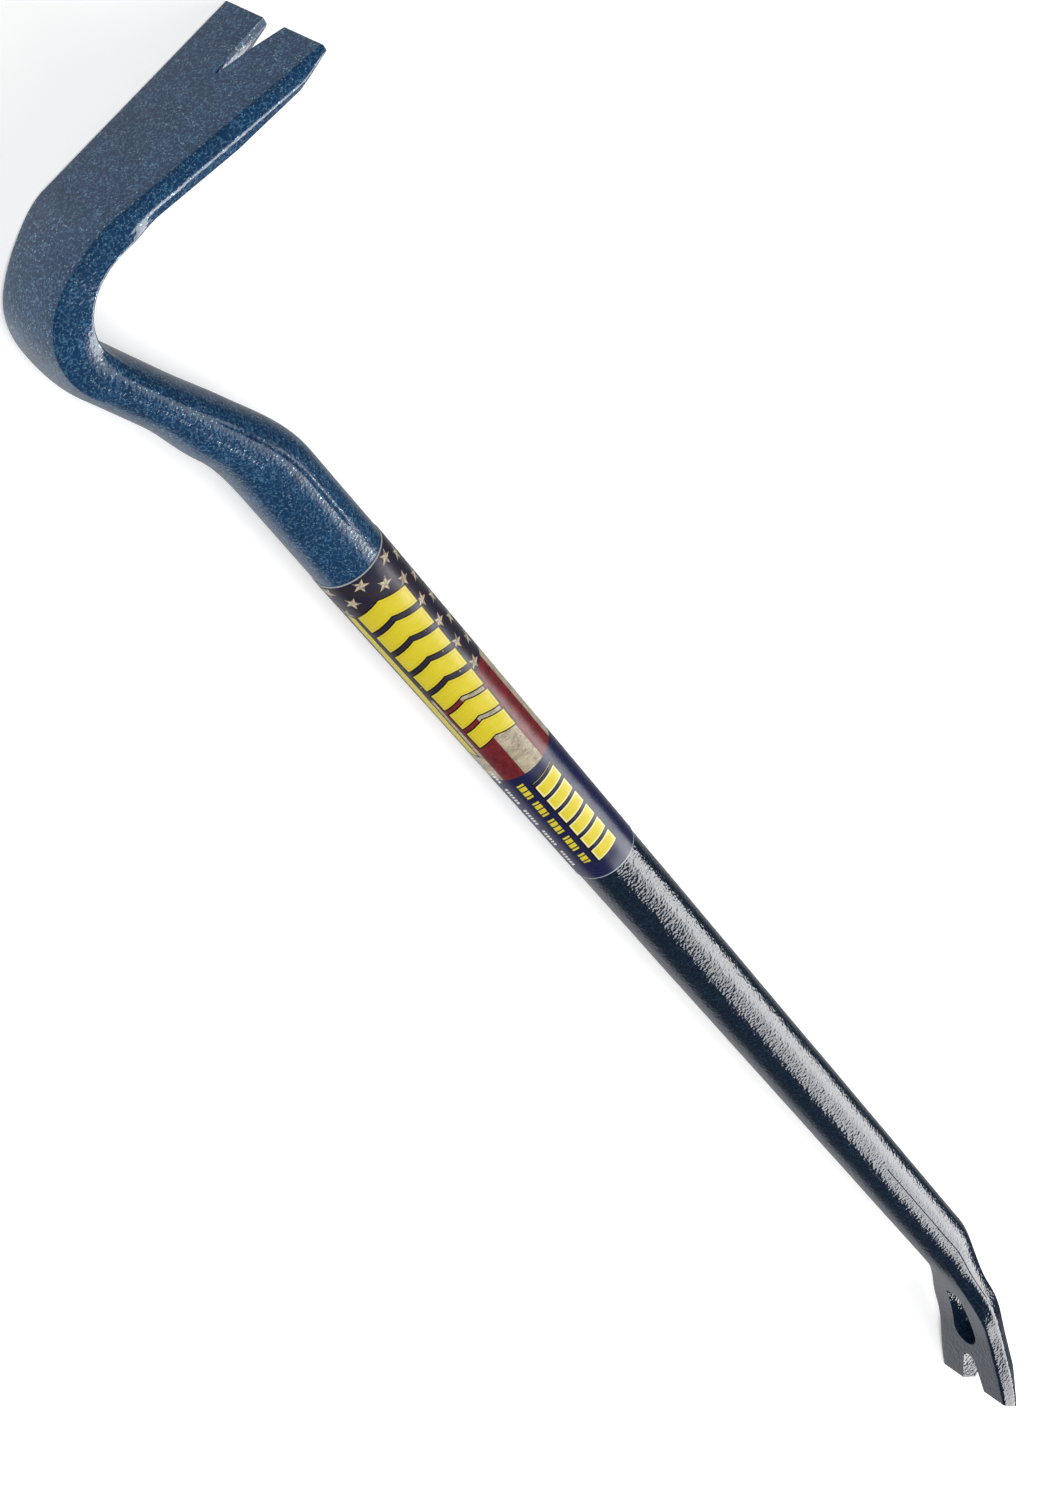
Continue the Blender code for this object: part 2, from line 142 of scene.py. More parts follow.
def shaft_radius(x):
    return ramp(x, 0.0, form_start, shaft["upper_radius"], shaft["lower_radius"])


print("shaft tapers from", shaft_radius(0.0) / MM, "to", shaft_radius(form_start) / MM, "mm radius")

# %% [markdown]
# ## The section at each place
# Two functions answer one question: how thick and how wide is the steel at this distance
# from the sleeve? The hook side goes from round neck, through the rocker of the heel, to
# the flat claw. `square` says how far the section has changed from an oval to a blade.

# %% Section sizes along the hook


def hook_section(u):
    back = claw_tip - u
    outer = ease(u, [
        (neck_start, shaft["upper_radius"]),
        (neck_bent, neck["outer"]),
        (neck_bent + neck["run"] / 2.0, neck["half"]),
        (heel_start, neck["half"]),
        (heel_start + heel["fullest_at"] * heel_turn, heel["outer"]),
        (heel_start + heel["lean_at"] * heel_turn, heel["lean"]),
        (heel_end, claw["offset"]),
    ])
    inner = ease(u, [
        (neck_start, shaft["upper_radius"]),
        (neck_bent, neck["inner"]),
        (neck_bent + neck["run"] / 2.0, neck["half"]),
        (heel_start, neck["half"]),
        ((heel_start + heel_end) / 2.0, heel["inner"]),
        (heel_end, claw["root"] - claw["offset"]),
    ])
    width = ease(u, [
        (neck_start, shaft["upper_radius"]),
        (heel_start, neck["width"]),
        ((heel_start + heel_end) / 2.0, heel["width"]),
        (heel_end, claw["root_width"]),
    ])
    if u > heel_end:
        thick = ease(back, [(claw["middle_back"], claw["middle"]), (claw["run"], claw["root"])])
        if back < claw["middle_back"]:
            thick = ramp(back, claw["wedge_back"], claw["middle_back"], claw["wedge"], claw["middle"])
        if back < claw["wedge_back"]:
            thick = ramp(back, 0.0, claw["wedge_back"], claw["tip"], claw["wedge"])
        inner = thick - claw["offset"]
        width = ramp(u, heel_end, claw_tip, claw["root_width"], claw["tip_width"])
    side = min(claw["side"], SIDE_SHARE * (outer + inner))
    chamfer = ramp(back, 0.0, claw["wedge_back"], 0.0, claw["chamfer"])
    chamfer *= ease(u, [(heel_end, 0.0), (heel_end + claw["chamfer_fade"], 1.0)])
    crown = ramp(back, 0.0, claw["wedge_back"], 0.0, claw["crown"])
    square = ease(u, [
        (heel_start - heel["square_lead"], 0.0),
        (heel_start + heel["square_at"] * heel_turn, 1.0),
    ])
    return outer, inner, width, side, width - chamfer, square, crown


print("claw root section, mm:", [round(size / MM, 2) for size in hook_section(heel_end)[:5]])

# %% [markdown]
# The chisel side is simpler. The round shaft is squashed to a plate that leans away, flares
# a little and ends in a short bevel, ground only on the inner face.

# %% Section sizes along the chisel


def chisel_section(u):
    back = chisel_tip - u
    outer = shaft_radius(u)
    thick = ease(u, [
        (form_start, 2.0 * shaft["lower_radius"]),
        (shaft["below"] + chisel["flattened_at"] * chisel_turn, chisel["root"]),
        (chisel_bent, chisel["blade"]),
    ])
    width = ease(u, [
        (shaft["below"], shaft["lower_radius"]),
        (shaft["below"] + chisel["flared_at"] * chisel_turn, chisel["flare"]),
        (chisel_tip, chisel["tip_width"]),
    ])
    if back < chisel["bevel_back"]:
        thick = ramp(back, 0.0, chisel["bevel_back"], chisel["tip"], chisel["blade"])
    if u < form_start:
        thick = 2.0 * outer
        width = outer
    square = ease(u, [(form_start, 0.0), (shaft["below"] + chisel["square_at"] * chisel_turn, 1.0)])
    side = min(chisel["side"], SIDE_SHARE * thick)
    chamfer = ramp(back, 0.0, chisel["bevel_back"], chisel["tip_chamfer"], chisel["chamfer"])
    return outer, thick - outer, width, side, width - chamfer, square, 0.0


print("chisel blade section, mm:", [round(size / MM, 2) for size in chisel_section(chisel_bent)[:5]])

# %% [markdown]
# ## One outline for round and flat
# Every section has to carry the same number of points, or they can't be joined into one
# skin. Half an outline is counted in steps, from the middle of the broad face (0) to the
# middle of the back (20), with the blade's three corners at fixed steps. Points crowd at
# the corners so that each can be a small rounded fillet, as paint and scale leave it.
# Two more spots get three close points each: there the die's parting line may be pressed in.

# %% Where the outline's points sit
HALF = 20.0
CORNERS = (5.0, 9.0, 15.0)
FILLET_SPAN = 0.40  # share of a step each side of a corner
FILLET_POINTS = 6
FILLET = 0.75 * MM
FILLET_LIMIT = 0.45  # share of a side that one fillet may take
STEP_SPACING = 0.6  # steps between points on the open stretches
SEAM_LEAD = 0.1  # closer spacing on the way to the chisel's parting line
BACK_SPACING = 0.65  # and behind the last corner
NECK_SEAM = 12.3  # where the parting line runs on the neck
CHISEL_SEAM = 9.62  # and where it runs toward the chisel
SEAM_HALF = 0.17
SEAM_DEPTH = 0.20 * MM


def outline_steps():
    steps = [0.0]

    def fill(end, spacing):
        start = steps[-1]
        count = max(1, round((end - start) / spacing))
        steps.extend(start + (end - start) * i / count for i in range(1, count + 1))

    for corner, seam in zip(CORNERS, (None, CHISEL_SEAM, None)):
        if corner == CORNERS[2]:
            fill(NECK_SEAM - SEAM_HALF, STEP_SPACING)
            fill(NECK_SEAM + SEAM_HALF, SEAM_HALF)
        fill(corner - FILLET_SPAN, STEP_SPACING)
        fill(corner + FILLET_SPAN, 2.0 * FILLET_SPAN / FILLET_POINTS)
        if seam:
            fill(seam - SEAM_HALF, SEAM_LEAD)
            fill(seam + SEAM_HALF, SEAM_HALF)
    fill(HALF, BACK_SPACING)
    return steps


steps = outline_steps()
print("points on half an outline:", len(steps))

# %% [markdown]
# The blade outline is a polygon with its corners cut back and rounded by a quadratic curve.
# The round outline is an ellipse. `square` blends one into the other, point by point.

# %% Half an outline


def rounded_corner(before, corner, after, part):
    """Point on a fillet that starts FILLET before the corner and ends FILLET after it."""
    start = before - corner
    end = after - corner
    start = corner + start.normalized() * min(FILLET, FILLET_LIMIT * start.length)
    end = corner + end.normalized() * min(FILLET, FILLET_LIMIT * end.length)
    return start.lerp(corner, part).lerp(corner.lerp(end, part), part)


def blade_point(step, knots):
    """Point of the blade outline at a step, with a fillet at each inner knot."""
    for index in range(1, len(knots) - 1):
        at = knots[index][0]
        if abs(step - at) <= FILLET_SPAN:
            part = (step - at + FILLET_SPAN) / (2.0 * FILLET_SPAN)
            return rounded_corner(knots[index - 1][1], knots[index][1], knots[index + 1][1], part)
    for index in range(len(knots) - 1):
        if step <= knots[index + 1][0]:
            break
    low, start = knots[index]
    high, end = knots[index + 1]
    if index > 0:
        start = rounded_corner(knots[index - 1][1], start, end, 1.0)
        low += FILLET_SPAN
    if index < len(knots) - 2:
        end = rounded_corner(knots[index][1], end, knots[index + 2][1], 0.0)
        high -= FILLET_SPAN
    return start.lerp(end, (step - low) / (high - low))


def half_outline(sizes, seams):
    outer, inner, width, side, back_width, square, crown = sizes
    knots = [
        (0.0, Vector((outer, 0.0))),
        (CORNERS[0], Vector((outer, width))),
        (CORNERS[1], Vector((outer - side, width))),
        (CORNERS[2], Vector((-inner, back_width))),
        (HALF, Vector((-inner, 0.0))),
    ]
    centre = Vector(((outer - inner) / 2.0, 0.0))
    points = []
    for step in steps:
        turn = math.pi * step / HALF
        oval = centre + Vector(((outer + inner) / 2.0 * math.cos(turn), width * math.sin(turn)))
        flat = blade_point(step, knots)
        if step < CORNERS[0]:
            flat.x += crown * (1.0 - (step / CORNERS[0]) ** 2)
        point = oval.lerp(flat, square)
        for seam, depth in seams:
            if abs(step - seam) < SEAM_HALF / 2.0:
                point -= (point - centre).normalized() * depth
        points.append(point)
    return points


root_outline = half_outline(hook_section(heel_end), [])
print("claw root, middle of its face, mm:", [round(size / MM, 2) for size in root_outline[0]])

# %% [markdown]
# ## Walking the centre line
# The centre line is straights and arcs, like bending a rod round pegs. `walk` follows it
# from the sleeve toward one end and stops at stations, close together where it bends.

# %% Follow the two halves of the centre line


def walk(heading, segments):
    point = Vector((0.0, 0.0))
    angle = math.radians(heading)
    distance = 0.0
    stations = [(distance, point.copy(), angle)]
    for length, turn, count in segments:
        step = length / count
        bend = math.radians(turn) / count
        chord = step * (math.sin(bend / 2.0) / (bend / 2.0) if bend else 1.0)
        for _ in range(count):
            middle = angle + bend / 2.0
            point = point + Vector((math.cos(middle), math.sin(middle))) * chord
            angle += bend
            distance += step
            stations.append((distance, point.copy(), angle))
    return stations


def hook_line():
    return walk(180.0, [
        (shaft["above"], 0.0, 14),
        (neck_bent - neck_start, neck["angle"], 14),
        (neck["run"], 0.0, 20),
        (heel_turn, -heel["angle"], 56),
        (claw["run"] - claw["middle_back"], 0.0, 14),
        (claw["middle_back"] - claw["wedge_back"], 0.0, 10),
        (claw["wedge_back"], 0.0, 6),
    ])


def chisel_line():
    return walk(0.0, [
        (SLEEVE_LENGTH, 0.0, 12),
        (form_start - SLEEVE_LENGTH, 0.0, 90),
        (shaft["forming"], 0.0, 8),
        (chisel_turn, -chisel["angle"], 24),
        (chisel["run"] - chisel["bevel_back"], 0.0, 8),
        (chisel["bevel_back"], 0.0, 5),
    ])


print("stations:", len(hook_line()), "toward the claw,", len(chisel_line()), "toward the chisel")

# %% [markdown]
# ## Rings of points
# At each station the half outline is mirrored and set across the line. The parting line is
# a fine groove that the two dies leave where they meet. It fades in and out, because
# the trimming wheel takes it away in some places and not in others.

# %% Rings along the whole bar
NECK_SEAM_SPAN = (8.0 * MM, 56.0 * MM)  # distances from the sleeve, toward the claw
CHISEL_SEAM_SPAN = (248.0 * MM, 318.0 * MM)  # distances from the sleeve, toward the chisel
SEAM_FADE = 7.0 * MM


def seam_depth(u, span):
    rise = ease(u, [(span[0], 0.0), (span[0] + SEAM_FADE, 1.0)])
    fall = ease(u, [(span[1] - SEAM_FADE, 1.0), (span[1], 0.0)])
    return SEAM_DEPTH * rise * fall


def ring_at(point, outward, along, outline, slant):
    top = outline[0].x
    low = outline[-1].x
    ring = []
    for n, z in [tuple(p) for p in outline] + [(p.x, -p.y) for p in reversed(outline[1:-1])]:
        flat = point + outward * n + along * (slant * (top - n) / (top - low))
        ring.append(Vector((flat.x, flat.y, z)))
    return ring


def forging_rings():
    rings = []
    for u, point, angle in reversed(hook_line()[1:]):
        along = Vector((math.cos(angle), math.sin(angle)))
        outward = Vector((-along.y, along.x))
        outline = half_outline(hook_section(u), [(NECK_SEAM, seam_depth(u, NECK_SEAM_SPAN))])
        rings.append(ring_at(point, outward, along, outline, 0.0))
    for u, point, angle in chisel_line():
        along = Vector((math.cos(angle), math.sin(angle)))
        outward = Vector((along.y, -along.x))
        outline = half_outline(chisel_section(u), [(CHISEL_SEAM, seam_depth(u, CHISEL_SEAM_SPAN))])
        slant = ramp(chisel_tip - u, 0.0, chisel["bevel_back"], chisel["slant"], 0.0)
        rings.append(ring_at(point, outward, along, outline, slant))
    return rings


rings = forging_rings()
print("rings:", len(rings), "of", len(rings[0]), "points")

# %% [markdown]
# ## Laying the bar down
# The design stands in its own plane, and the packed bar lies at rest on one side of its
# claw and chisel. Three points of the lower side touch the bench: a claw corner, the root
# of the claw and a chisel corner. Turning the plane of those three level, then lifting
# the result, gives the same placing as the packed bar. The boxes compared after the cuts
# confirm it.

# %% Find the resting turn
CLAW_ROOT_X = -60.0 * MM  # the root's low point is looked for beyond this X
CLAW_ROOT_Y = 15.0 * MM  # and below this Y
LEVELLING_ROUNDS = 12


def resting_place(rings):
    points = [place for ring in rings for place in ring]
    count = len(rings[0])
    turn = Matrix.Identity(3)
    for _ in range(LEVELLING_ROUNDS):
        placed = [turn @ place for place in points]
        tip = min(placed[:count], key=lambda place: place.z)
        root = min((p for p in placed if p.x < CLAW_ROOT_X and p.y < CLAW_ROOT_Y), key=lambda p: p.z)
        far = min(placed[-count:], key=lambda place: place.z)
        normal = (root - tip).cross(far - tip).normalized()
        if normal.z < 0.0:
            normal = -normal
        turn = normal.rotation_difference(Vector((0.0, 0.0, 1.0))).to_matrix() @ turn
    placed = [turn @ place for place in points]
    low = Vector([min(place[i] for place in placed) for i in range(3)])
    high = Vector([max(place[i] for place in placed) for i in range(3)])
    middle = (low + high) / 2.0
    return Matrix.Translation((-middle.x, -middle.y, -low.z)) @ turn.to_4x4()


lay_down = resting_place(rings)
steel_low, steel_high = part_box("forged_bar")
print("laid down by", [round(v / MM, 2) for v in lay_down.translation], "mm")

# %% [markdown]
# ## The skin of the forging
# The rings are joined into one closed skin. A hammered and annealed bar is never quite
# true, so each point is then nudged by a few hundredths of a millimetre with slow noise.
# That is far too little to measure, and just enough to make long reflections wander.

# %% Loft the rings
WANDER = 0.035 * MM
WANDER_SIZE = 14.0 * MM


def join_loops(data, loops):
    """Four-sided faces between neighbouring loops of the same number of points."""
    count = len(loops[0])
    for first, second in zip(loops, loops[1:]):
        for i in range(count):
            j = (i + 1) % count
            data.faces.new((first[i], first[j], second[j], second[i]))


def cap_ends(data, loops):
    data.faces.new(loops[0])
    data.faces.new(list(reversed(loops[-1])))


def new_object(name, data):
    bmesh.ops.recalc_face_normals(data, faces=data.faces)
    mesh = bpy.data.meshes.new(name)
    data.to_mesh(mesh)
    data.free()
    item = bpy.data.objects.new(name, mesh)
    bpy.context.scene.collection.objects.link(item)
    return item


def loft(rings):
    data = bmesh.new()
    loops = [[data.verts.new(place) for place in ring] for ring in rings]
    join_loops(data, loops)
    cap_ends(data, loops)
    return data


skin = loft(rings)
skin.normal_update()
for vert in skin.verts:
    vert.co += vert.normal * WANDER * noise.noise(vert.co / WANDER_SIZE)
forging = new_object("enamelled_forging", skin)
print("skin:", len(forging.data.polygons), "faces")

# %% [markdown]
# ## Notches and hole
# The V of the claw, the small notch of the chisel and the teardrop nail hole are punched
# and ground after forging. Each is cut with a closed tool shape and a Boolean modifier.
# The claw's V opens toward the back, so a nail's head can sit behind it.

# %% Sizes of the cuts
V_DEPTH = 15.5 * MM
V_HALF_OPENING = 3.7 * MM
V_APEX_HALF = 0.25 * MM
V_STRAIGHT_WALL = 2.0 * MM
V_WALL_FLARE = 0.90
V_APEX_FLARE = 0.60
V_BEYOND = 2.0 * MM  # how far the V tool starts off the claw's end
NOTCH_BEYOND = 5.0 * MM
NOTCH_POINTS = 20
NOTCH_DEPTH = 10.6 * MM
NOTCH_HALF_OPENING = 4.0 * MM
NOTCH_END_RADIUS = 2.2 * MM
HOLE_CENTRE_BACK = 18.8 * MM
HOLE_RADIUS = 4.1 * MM
HOLE_APEX_BACK = 32.4 * MM
HOLE_APEX_HALF = 2.4 * MM
HOLE_APEX_FLAT = 0.3  # the narrow end is an ellipse this deep
HOLE_APEX_POINTS = 8
HOLE_POINTS = 32
REACH = 20.0 * MM  # how far a cutter reaches outward
print("cuts:", V_DEPTH / MM, "mm V,", NOTCH_DEPTH / MM, "mm notch,", 2.0 * HOLE_RADIUS / MM, "mm hole")

# %% [markdown]
# A cutter is built on the end of the centre line: distances back from the tip, half widths,
# and how far outward each level of it lies.

# %% A cutter through a blade


def end_of(line, flip):
    _, point, angle = line[-1]
    along = Vector((math.cos(angle), math.sin(angle)))
    outward = Vector((-along.y, along.x)) * flip
    return point, along, outward


def tool(name, levels, place):
    """A cutter through a blade: levels of (offset outward, outline of (back, width))."""
    point, along, outward = place
    data = bmesh.new()
    layers = []
    for level, outline in levels:
        layer = []
        for back, width in outline:
            flat = point - along * back + outward * level
            layer.append(data.verts.new((flat.x, flat.y, width)))
        layers.append(layer)
    join_loops(data, layers)
    cap_ends(data, layers)
    return new_object(name, data)


print("the claw ends", [round(size / MM, 1) for size in end_of(hook_line(), 1.0)[0]], "mm from the sleeve")

# %% [markdown]
# The V is a wedge that widens toward the back of the claw. The chisel's notch is a slot
# with a round bottom, and the hole is a circle drawn out to a narrower end.

# %% Shape the cutting tools


def v_tool():
    levels = []
    mouth = (V_HALF_OPENING - V_APEX_HALF) * V_BEYOND / V_DEPTH
    wall_end = claw["offset"] - V_STRAIGHT_WALL
    for level in (REACH, wall_end, -REACH / 2.0):
        flare = max(wall_end - level, 0.0)
        apex = V_APEX_HALF + V_WALL_FLARE * flare
        wide = V_HALF_OPENING + V_WALL_FLARE * flare + mouth
        depth = V_DEPTH + V_APEX_FLARE * flare
        levels.append((level, [(-V_BEYOND, -wide), (depth, -apex), (depth, apex), (-V_BEYOND, wide)]))
    return tool("v_tool", levels, end_of(hook_line(), 1.0))


def notch_tool():
    centre = NOTCH_DEPTH - NOTCH_END_RADIUS
    wide = NOTCH_HALF_OPENING + (NOTCH_HALF_OPENING - NOTCH_END_RADIUS) * NOTCH_BEYOND / centre
    outline = [(-NOTCH_BEYOND, -wide)]
    for i in range(NOTCH_POINTS + 1):
        turn = math.pi * i / NOTCH_POINTS
        outline.append((centre + NOTCH_END_RADIUS * math.sin(turn), -NOTCH_END_RADIUS * math.cos(turn)))
    outline.append((-NOTCH_BEYOND, wide))
    return tool("notch_tool", [(-REACH, outline), (REACH, outline)], end_of(chisel_line(), -1.0))


def hole_tool():
    reach = HOLE_APEX_BACK - HOLE_CENTRE_BACK
    lean = math.asin((HOLE_RADIUS - HOLE_APEX_HALF) / reach)
    apex_deep = HOLE_APEX_FLAT * HOLE_APEX_HALF
    outline = []
    for i in range(HOLE_APEX_POINTS + 1):
        turn = math.pi * (i / HOLE_APEX_POINTS - 0.5)
        outline.append((HOLE_APEX_BACK + apex_deep * math.cos(turn), HOLE_APEX_HALF * math.sin(turn)))
    for i in range(HOLE_POINTS + 1):
        turn = -lean + (math.pi + 2.0 * lean) * i / HOLE_POINTS
        outline.append((HOLE_CENTRE_BACK - HOLE_RADIUS * math.sin(turn), HOLE_RADIUS * math.cos(turn)))
    return tool("hole_tool", [(-REACH, outline), (REACH, outline)], end_of(chisel_line(), -1.0))


tools = [v_tool(), notch_tool(), hole_tool()]
print("tools:", [item.name for item in tools])

# %% [markdown]
# The cuts leave slivers where a tool's edge passes close to a mesh point, so points that
# nearly touch are welded. The cut edges stay crisp, as a punch leaves them: paint rounds
# them by less than 0.2 mm, and a Bevel that narrow would fold over itself where mesh points
# are closer than that. The long edges have their fillets in the outline already. The tools
# are then thrown away.

# %% Cut and lay down the forging
WELD = 0.04 * MM
STEEL_CREASE = math.radians(50.0)  # sharper turns than this are shaded as edges


def apply_modifiers(item):
    shown = bpy.context.evaluated_depsgraph_get()
    shown.update()
    made = bpy.data.meshes.new_from_object(item.evaluated_get(shown))
    item.modifiers.clear()
    old = item.data
    item.data = made
    bpy.data.meshes.remove(old)


def weld(item):
    data = bmesh.new()
    data.from_mesh(item.data)
    bmesh.ops.remove_doubles(data, verts=data.verts, dist=WELD)
    bmesh.ops.dissolve_degenerate(data, dist=WELD, edges=data.edges)
    data.to_mesh(item.data)
    data.free()


for item in tools:
    cutting = forging.modifiers.new(item.name, 'BOOLEAN')
    cutting.operation = 'DIFFERENCE'
    cutting.object = item
apply_modifiers(forging)
for item in tools:
    bpy.data.objects.remove(item, do_unlink=True)
weld(forging)
forging.data.transform(lay_down)
forging.data.shade_smooth()
forging.data.set_sharp_from_angle(angle=STEEL_CREASE)
print("forging:", len(forging.data.polygons), "faces")
for i, axis in enumerate("XYZ"):
    below = steel_low[i] - min(vert.co[i] for vert in forging.data.vertices)
    above = max(vert.co[i] for vert in forging.data.vertices) - steel_high[i]
    print("beyond the packed box along", axis, "by", round(max(below, above) / MM, 2), "mm")

# %% [markdown]
# ## A small language for materials
# A material in Blender is a graph of nodes. Written link by link it is hard to read, so
# `Value` wraps one output socket, and arithmetic on it adds the Math nodes.

# %% Arithmetic that builds nodes


class Value:
    """One number in a material; arithmetic on it adds Math nodes."""

    def __init__(self, finish, socket):
        self.finish = finish
        self.socket = socket

    def maths(self, operation, *others):
        sockets = dict(enumerate((self,) + others))
        return self.finish.node("ShaderNodeMath", {"operation": operation}, sockets)

    def wrapped(self, size):
        """What is left over after whole sizes."""
        return self.maths("FLOORED_MODULO", size)

    def __add__(self, other):
        return self.maths("ADD", other)

    def __sub__(self, other):
        return self.maths("SUBTRACT", other)

    def __rsub__(self, other):
        return self.finish.node("ShaderNodeMath", {"operation": "SUBTRACT"}, {0: other, 1: self})

    def __mul__(self, other):
        return self.maths("MULTIPLY", other)

    def __gt__(self, other):
        return self.maths("GREATER_THAN", other)

    def __lt__(self, other):
        return self.maths("LESS_THAN", other)

    def __abs__(self):
        return self.maths("ABSOLUTE")

    __radd__ = __add__


print("Value:", Value.__doc__)

# %% [markdown]
# `Finish` is one material. Its `node` adds any node from its type, its settings and its
# inputs, and the other helpers are the few nodes that come up again and again.

# %% Shader helpers


class Finish:
    """A material with a Principled shader."""

    def __init__(self, name):
        self.material = bpy.data.materials.new(name)
        self.material.use_nodes = True
        self.tree = self.material.node_tree
        self.shader = self.tree.nodes["Principled BSDF"]

    def feed(self, node, sockets):
        for key, value in sockets.items():
            if isinstance(value, Value):
                self.tree.links.new(value.socket, node.inputs[key])
            else:
                node.inputs[key].default_value = value

    def node(self, kind, settings, sockets, out=0):
        """Any node; out picks the output that is passed on."""
        made = self.tree.nodes.new(kind)
        for key, value in settings.items():
            setattr(made, key, value)
        self.feed(made, sockets)
        return Value(self, made.outputs[out])

    def clouds(self, place, scale, detail, roughness=0.5):
        """Soft noise from 0 to 1; scale counts its blobs per unit of place."""
        sockets = {"Vector": place, "Scale": scale, "Detail": detail, "Roughness": roughness}
        return self.node("ShaderNodeTexNoise", {}, sockets)

    def bump(self, height):
        """A Bump whose height is a true length."""
        return self.node("ShaderNodeBump", {}, {"Strength": 1.0, "Distance": 1.0, "Height": height})

    def mix(self, factor, first, second, blend="MIX"):
        settings = {"data_type": "RGBA", "blend_type": blend, "clamp_factor": True}
        return self.node("ShaderNodeMix", settings, {0: factor, 6: first, 7: second}, out=2)

    def smooth(self, value, low, high):
        """0 below low, 1 above high, smooth between."""
        settings = {"interpolation_type": "SMOOTHSTEP"}
        return self.node("ShaderNodeMapRange", settings, {0: value, 1: low, 2: high})

    def set(self, **sockets):
        self.feed(self.shader, {key.replace("_", " "): value for key, value in sockets.items()})


def colour(red, green, blue):
    """A colour as a screen shows it, 0 to 255, turned into light."""
    light = []
    for part in (red, green, blue):
        part = part / 255.0
        light.append(part / 12.92 if part <= 0.04045 else ((part + 0.055) / 1.055) ** 2.4)
    return (*light, 1.0)


print("yellow as light:", [round(part, 3) for part in colour(222, 205, 50)])

# %% [markdown]
# ## Hammered blue enamel
# The bar is dipped or sprayed with a glossy enamel full of fine metal flake, which dries to
# a pebbled skin. Up close there are three things: pebbles about half a millimetre across,
# flakes that flash one at a time, and a deep blue that is richer on the hook and nearly
# black-navy on the shaft. The pebbles are a Bump, because they
# are a few hundredths of a millimetre high; the flakes change Metallic and colour.

# %% Enamel material
HOOK_BLUE = colour(20, 52, 84)
HOOK_LIGHT = colour(60, 96, 126)
SHAFT_NAVY = colour(12, 24, 38)
SHAFT_LIGHT = colour(26, 42, 58)
FLAKE = colour(170, 205, 220)
PEBBLE = 0.72 * MM
WORM = 1.15 * MM
BROAD = 7.0 * MM
PEBBLE_HEIGHT = 0.045 * MM
WORM_HEIGHT = 0.050 * MM
BROAD_HEIGHT = 0.06 * MM
SHAFT_PEBBLES = 0.6  # how much higher the relief stands on the shaft
FLAKE_SIZE = 0.40 * MM
FLAKE_RARITY = 0.91  # share of cells that hold no flake
FLAKE_REACH = 0.40  # flake radius as a share of its cell
FLAKE_SHARE = 0.5  # how metallic and how pale a flake is
WORM_HALF = 0.075  # half width of a worm-like ridge, in noise levels
SHAFT_DARK_FROM = 95.0 * MM  # distance down the shaft where the colour is darkest
PEBBLE_BREAKS = 0.8  # how strongly the pebbles break up the pale ridges
DARK_CLOUDS = 0.25  # strength of the broad dark clouds
ROUGHNESS = 0.13
ROUGHER_CLOUDS = 0.06
SHAFT_SMOOTHER = 0.05
ENAMEL_IOR = 1.42


def enamel():
    finish = Finish("hammered_blue_enamel")
    place = finish.node("ShaderNodeTexCoord", {}, {}, out=3)
    along = finish.node("ShaderNodeSeparateXYZ", {}, {0: place})
    shaft_from = lay_down.translation.x
    on_shaft = finish.smooth(along, shaft_from, shaft_from + SHAFT_DARK_FROM)
    cells = {"Vector": place, "Scale": 1.0 / PEBBLE, "Smoothness": 0.5}
    pebble = finish.node("ShaderNodeTexVoronoi", {"feature": "SMOOTH_F1"}, cells)
    worm = finish.clouds(place, 1.0 / WORM, 2.0)
    broad = finish.clouds(place, 1.0 / BROAD, 2.0)
    height = pebble * PEBBLE_HEIGHT + worm * WORM_HEIGHT + broad * BROAD_HEIGHT
    bump = finish.bump(height * (1.0 + on_shaft * SHAFT_PEBBLES))

    cells = {"Vector": place, "Scale": 1.0 / FLAKE_SIZE}
    flake_cells = finish.node("ShaderNodeTexVoronoi", {"feature": "F1"}, cells)
    flake_colour = Value(finish, flake_cells.socket.node.outputs["Color"])
    chance = finish.node("ShaderNodeSeparateColor", {}, {0: flake_colour})
    flake = (chance > FLAKE_RARITY) * (flake_cells < FLAKE_REACH) * (1.0 - on_shaft)
    flake = flake * FLAKE_SHARE

    ridge = finish.smooth(abs(worm - 0.5), WORM_HALF, 0.0)
    ridge = finish.smooth(ridge + (0.5 - pebble) * PEBBLE_BREAKS, 0.25, 1.15)
    on_hook = finish.mix(ridge, HOOK_BLUE, HOOK_LIGHT)
    body = finish.mix(on_shaft, on_hook, finish.mix(ridge, SHAFT_NAVY, SHAFT_LIGHT))
    clouded = finish.smooth(broad, 0.3, 0.75) * DARK_CLOUDS
    body = finish.mix(clouded, body, SHAFT_NAVY)
    body = finish.mix(flake, body, FLAKE)
    gloss = ROUGHNESS + broad * ROUGHER_CLOUDS - on_shaft * SHAFT_SMOOTHER
    finish.set(Base_Color=body, Roughness=gloss, Metallic=flake, Normal=bump)
    finish.set(IOR=ENAMEL_IOR)
    return finish.material


forging.data.materials.clear()
forging.data.materials.append(enamel())
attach(forging, "root")
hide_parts("forged_bar")
print("enamel nodes:", len(forging.data.materials[0].node_tree.nodes))

# %% [markdown]
# ## The film sleeve
# The printed sleeve is one turn of glossy film, wrapped tight and lapped over itself on
# the side nobody looks at. Its section is a short spiral, so the lap is a real step.
# Each point stores how far along and how far round the print it lies, in millimetres, and
# its lift over the steel. The print can then be drawn flat, as its artwork was.

